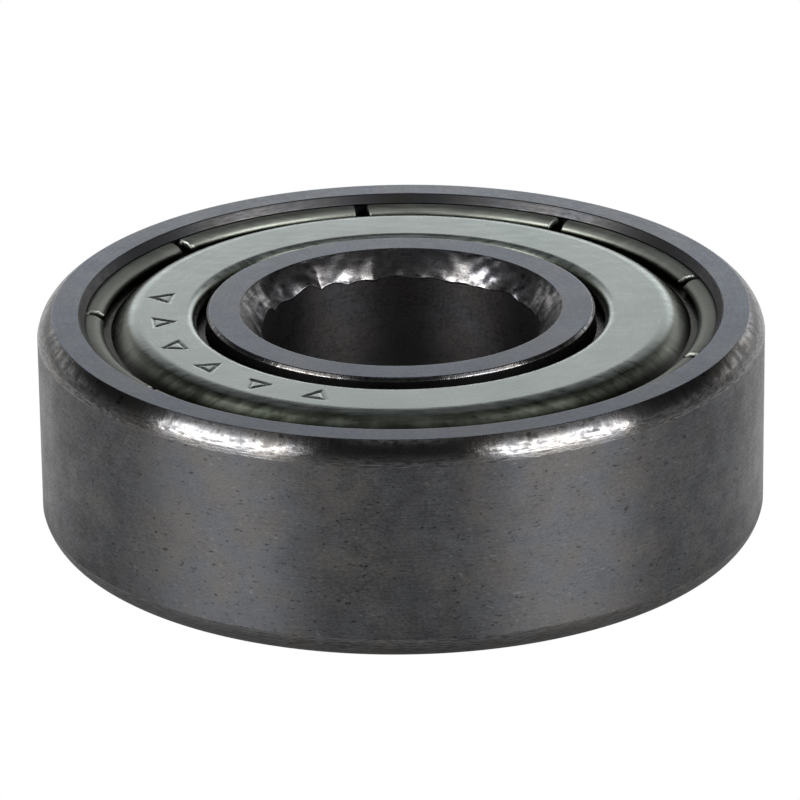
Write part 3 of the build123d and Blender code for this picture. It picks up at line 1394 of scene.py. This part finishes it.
        loop = np.concatenate(places, axis=1)
        stamp = np.concatenate(stamps, axis=1)
        if self.side is Side.TOP:
            loop, stamp = loop[:, ::-1], stamp[:, ::-1]
        else:
            loop = loop * np.array([1.0, -1.0])
        grid = turned(loop, angles)
        node = "shield_top" if self.side is Side.TOP else "shield_bottom"
        piece = Surface(node + "_sheet", grid, [Zone.FLAT] * grid.shape[1]).mesh()
        sunk_share = piece.data.attributes.new(STAMP, "FLOAT", "POINT")
        sunk_share.data.foreach_set("value", stamp.astype(np.float32).ravel())
        dress(piece, "shield")
        settle(piece, node)
        return piece


# ---------------------------------------------------------------------------------------------------------
# Rolling parts
# ---------------------------------------------------------------------------------------------------------


@dataclass
class Cage:
    """The ribbon cage: two pressed halves with a pocket over each ball, and the rivets between them."""

    row: BallRow
    sheet: float = 0.40 * MM
    clearance: float = 0.08 * MM
    inner: float = 8.0 * MM
    outer: float = 10.0 * MM
    rivet_radius: float = 0.40 * MM
    head_radius: float = 0.65 * MM
    head_height: float = 0.32 * MM
    head_rim: float = 0.97
    rows: int = 15
    columns: int = 22
    crowding: float = 1.5
    dome_points: int = 12
    rivet_columns: int = 48
    ribbon_sharp: float = math.radians(35)
    rivet_sharp: float = math.radians(40)

    def shell(self, radius: np.ndarray, ball: float, floor: float) -> tuple[np.ndarray, np.ndarray]:
        """One side of a half's sheet, as angle and height over one ball's share of the circle.

        The pocket's edge at radius r lies where the plan distance to the ball's centre is
        d = sqrt(ball squared - floor squared), at the angle whose cosine is (r^2 + p^2 - d^2) / 2rp.
        Inside it the height is sqrt(ball^2 - distance^2), and outside it the floor.

        Args:
            radius: the rows' radii.
            ball: radius of this side's sphere.
            floor: height of this side's web.

        Returns:
            Angles and heights, shaped (columns, rows).
        """
        pitch = self.row.pitch_radius
        plan = math.sqrt(ball**2 - floor**2)
        edge = np.arccos((radius**2 + pitch**2 - plan**2) / (2 * radius * pitch))
        half = math.pi / self.row.count
        share = np.linspace(0, 1, self.columns + 1)[:, None]
        inside = np.sin(share * math.pi / 2) * edge
        outside = edge + share[1:] ** self.crowding * (half - edge)
        side = np.concatenate([inside, outside])
        angle = np.concatenate([-side[:0:-1], side])[:-1]
        away = radius**2 + pitch**2 - 2 * radius * pitch * np.cos(angle)
        height = np.sqrt(np.clip(ball**2 - away, floor**2, None))
        return angle, height

    def half(self, side: Side) -> bpy.types.Object:
        """Builds one half from its two sides, pocket after pocket round the circle.

        Args:
            side: which half.

        Returns:
            The half.
        """
        count = self.row.count
        radius = np.linspace(self.inner, self.outer, self.rows)
        ball = self.row.ball_radius + self.clearance
        top_angle, top = self.shell(radius, ball + self.sheet, self.sheet)
        low_angle, low = self.shell(radius, ball, 0.0)
        angle = np.concatenate([top_angle, low_angle[:, ::-1]], axis=1)
        height = np.concatenate([top, low[:, ::-1]], axis=1)
        far = np.concatenate([radius, radius[::-1]])
        turns = lying_circle(count)
        angle = (angle[None] + turns[:, None, None]).reshape(-1, len(far))
        height = np.tile(height, (count, 1))
        grid = np.stack([far * np.cos(angle), far * np.sin(angle), height * side.value], axis=-1)
        if side is Side.TOP:
            grid = grid[:, ::-1]
        name = "cage_half_top" if side is Side.TOP else "cage_half_bottom"
        piece = Surface(name + "_ribbon", grid, [Zone.WALL] * grid.shape[1]).mesh()
        piece.data.set_sharp_from_angle(angle=self.ribbon_sharp)
        dress(piece, "cage")
        settle(piece, name)
        return piece

    def rivet(self, number: int) -> bpy.types.Object:
        """Builds one rivet as an outline turned about its own axis: domed head, shank, domed head.

        A dome's point at angle a from the axis is at (b sin a, top - b (1 - cos a)), with b the radius of
        the ball that the head is cut from.

        Args:
            number: which rivet, from 1.

        Returns:
            The rivet.
        """
        angle = 2 * math.pi * (number - 0.5) / self.row.count
        ball = (self.head_radius**2 + self.head_height**2) / (2 * self.head_height)
        open_to = math.asin(self.head_radius / ball)
        dome = np.linspace(0, open_to, self.dome_points)
        radius = ball * np.sin(dome)
        height = self.sheet + self.head_height - ball * (1 - np.cos(dome))
        upper = np.stack([radius, height], axis=-1)
        rim = np.array([[self.head_radius * self.head_rim, self.sheet], [self.rivet_radius, self.sheet]])
        top = np.vstack([upper, rim])
        outline = np.vstack([top, top[::-1] * np.array([1.0, -1.0])])[::-1]
        grid = turned(outline, lying_circle(self.rivet_columns))
        grid += np.array([math.cos(angle), math.sin(angle), 0]) * self.row.pitch_radius
        name = f"cage_rivet_{number}"
        piece = Surface(name + "_pin", grid, [Zone.WALL] * len(outline), capped=True).mesh()
        piece.data.set_sharp_from_angle(angle=self.rivet_sharp)
        dress(piece, "rivet")
        settle(piece, name)
        return piece

    def build(self) -> None:
        """Builds both halves and every rivet."""
        self.half(Side.TOP)
        self.half(Side.BOTTOM)
        for number in range(1, self.row.count + 1):
            self.rivet(number)


@dataclass
class Balls:
    """The row of balls."""

    row: BallRow
    rings: int = 49
    columns: int = 96

    def build(self) -> None:
        """Builds each ball as a half circle turned about its own upright axis.

        The half circle's point at tilt t is the ball's radius times (cos t, sin t).
        """
        for number in range(1, self.row.count + 1):
            angle = 2 * math.pi * (number - 1) / self.row.count
            tilt = np.linspace(-math.pi / 2, math.pi / 2, self.rings)
            outline = self.row.ball_radius * np.stack([np.cos(tilt), np.sin(tilt)], axis=-1)
            outline[[0, -1], 0] = 0
            grid = turned(outline, lying_circle(self.columns))
            grid += np.array([math.cos(angle), math.sin(angle), 0]) * self.row.pitch_radius
            name = f"ball_{number}"
            piece = Surface(name + "_sphere", grid, [Zone.RACE] * len(outline), capped=True).mesh()
            dress(piece, "ball")
            settle(piece, name)


# ---------------------------------------------------------------------------------------------------------
# Studio
# ---------------------------------------------------------------------------------------------------------


def sines(degrees: Span) -> Span:
    """Returns the sines of two angles in degrees, which are the heights of those directions."""
    return tuple(math.sin(math.radians(angle)) for angle in degrees)


@dataclass
class Studio:
    """Plain pale floor, soft light from a pale horizon and two softboxes at the front, and the camera."""

    half_width: float
    elevation: float = math.radians(22.36)
    distance: float = 0.2238
    lens: float = 280.0
    sensor: float = 36.0
    roll: float = math.radians(-0.677)
    shift: Span = (-0.00246, 0.01146)
    clip: Span = (0.01, 20)
    floor_radius: float = 3.0
    floor_rings: int = 12
    floor_gap: float = 0.02 * MM
    floor_thickness: float = 1 * MM
    floor_columns: int = 64
    floor_glow: float = 0.84
    floor_shade: float = 0.05
    shade_radii: Span = (0.0121, 0.0160)
    horizon: float = 1.5
    front: float = 0.30
    back_from: Span = (0.35, 0.75)
    haze: float = 0.22
    haze_degrees: Span = (4, 14)
    rightward: float = 0.35
    ceiling: float = 0.035
    ceiling_degrees: Span = (16, 26.5)
    zenith: float = 0.40
    zenith_degrees: Span = (78, 85)
    box_power: float = 1.75
    box_width: float = 0.24
    box_height: float = 0.16
    box_distance: float = 0.34
    boxes: tuple[tuple[str, float, float], ...] = (("softbox_left", -60, 31), ("softbox_right", 54, 31))

    def floor(self) -> None:
        """Lays a round pale floor under the bearing.

        The grid is rings of growing radius r and angle a at (r cos a, r sin a), just under the bearing.
        The floor gives its own light and takes no shadow. What the bearing mirrors of it is dark close
        to the bearing, where the bearing would shade a real floor.
        """
        radius = np.linspace(0, 1, self.floor_rings) ** 2 * self.floor_radius
        outline = np.stack([radius, np.full(self.floor_rings, -self.half_width - self.floor_gap)], axis=-1)
        back = outline[::-1] - np.array([0, self.floor_thickness])
        grid = turned(np.vstack([outline, back])[::-1], lying_circle(self.floor_columns))
        piece = Surface("studio_floor", grid, [Zone.FLAT] * grid.shape[1], capped=True).mesh()
        del piece["zone_order"]
        material = bpy.data.materials.new("pale_floor")
        material.use_nodes = True
        nodes = Nodes(material.node_tree)
        output = nodes.add("ShaderNodeOutputMaterial")
        place = nodes.add("ShaderNodeTexCoord").outputs["Object"]
        shade = nodes.range(nodes.length(place), self.shade_radii, self.floor_shade, self.floor_glow)
        light = nodes.glow("ShaderNodeEmission", shade)
        nodes.backdrop(light, nodes.glow("ShaderNodeEmission", 1.0), output.inputs["Surface"])
        piece.data.materials.append(material)

    def sky(self) -> None:
        """Sets the soft light round the bearing.

        The horizon is a pale band, brightest at the back and a little brighter on the right, that fades
        into haze below it and into a dark ceiling above it. Straight above is a pale patch.
        """
        world = bpy.data.worlds.new("soft_studio")
        bpy.context.scene.world = world
        world.use_nodes = True
        nodes = Nodes(world.node_tree)
        parts = nodes.add("ShaderNodeSeparateXYZ")
        nodes.put(parts.inputs[0], nodes.add("ShaderNodeTexCoord").outputs["Generated"])
        right, back, rise = parts.outputs
        band = nodes.range(rise, sines(self.ceiling_degrees), 1.0, 0.0)
        band = nodes.sum_of("MULTIPLY", band, nodes.range(rise, sines(self.haze_degrees), self.haze, 1.0))
        band = nodes.sum_of("MULTIPLY", band, nodes.range(back, self.back_from, self.front, self.horizon))
        lean = nodes.sum_of("ADD", nodes.sum_of("MULTIPLY", right, self.rightward), 1.0)
        above = nodes.range(rise, sines(self.zenith_degrees), self.ceiling, self.zenith)
        strength = nodes.sum_of("ADD", nodes.sum_of("MULTIPLY", band, lean), above)
        output = nodes.add("ShaderNodeOutputWorld")
        light = nodes.glow("ShaderNodeBackground", strength)
        nodes.backdrop(light, nodes.glow("ShaderNodeBackground", 1.0), output.inputs["Surface"])

    def softbox(self, name: str, azimuth: float, elevation: float) -> None:
        """Stands a soft lamp beside the bearing, facing it.

        Args:
            name: the lamp's name.
            azimuth: degrees to the right of the camera's side.
            elevation: degrees above the horizon.
        """
        data = bpy.data.lights.new(name, "AREA")
        data.energy = self.box_power
        data.shape = "RECTANGLE"
        data.size = self.box_width
        data.size_y = self.box_height
        lamp = bpy.data.objects.new(name, data)
        side, rise = math.radians(azimuth), math.radians(elevation)
        way = Vector((math.sin(side) * math.cos(rise), -math.cos(side) * math.cos(rise), math.sin(rise)))
        lamp.location = way * self.box_distance
        lamp.rotation_euler = way.to_track_quat("Z", "Y").to_euler()
        bpy.context.scene.collection.objects.link(lamp)

    def camera(self) -> None:
        """Stands the camera in front and above, a little rolled, looking at the bearing's middle."""
        data = bpy.data.cameras.new("studio_camera")
        data.lens = self.lens
        data.sensor_width = self.sensor
        data.shift_x, data.shift_y = self.shift
        data.clip_start, data.clip_end = self.clip
        camera = bpy.data.objects.new("studio_camera", data)
        toward = Vector((0, math.cos(self.elevation), -math.sin(self.elevation)))
        right = Vector((1, 0, 0))
        up = Vector((0, math.sin(self.elevation), math.cos(self.elevation)))
        turned_right = right * math.cos(self.roll) + up * math.sin(self.roll)
        turned_up = up * math.cos(self.roll) - right * math.sin(self.roll)
        axes = Matrix((turned_right, turned_up, -toward)).transposed()
        camera.matrix_world = Matrix.Translation(-toward * self.distance) @ axes.to_4x4()
        bpy.context.scene.collection.objects.link(camera)
        bpy.context.scene.camera = camera

    def build(self) -> None:
        """Sets up floor, light, camera and the plain display curve."""
        self.floor()
        self.sky()
        for name, azimuth, elevation in self.boxes:
            self.softbox(name, azimuth, elevation)
        self.camera()
        bpy.context.scene.view_settings.view_transform = "Standard"


def main() -> None:
    """Builds the bearing from the outside in, then the studio."""
    logging.basicConfig(level=logging.INFO, format="%(name)s: %(message)s")
    row = BallRow.from_frame()
    OuterRing(row).build()
    InnerRing(row).build()
    Shield(row, Side.TOP).build()
    Shield(row, Side.BOTTOM).build()
    Cage(row).build()
    Balls(row).build()
    Studio(row.half_width).build()


if __name__ == "__main__":
    main()
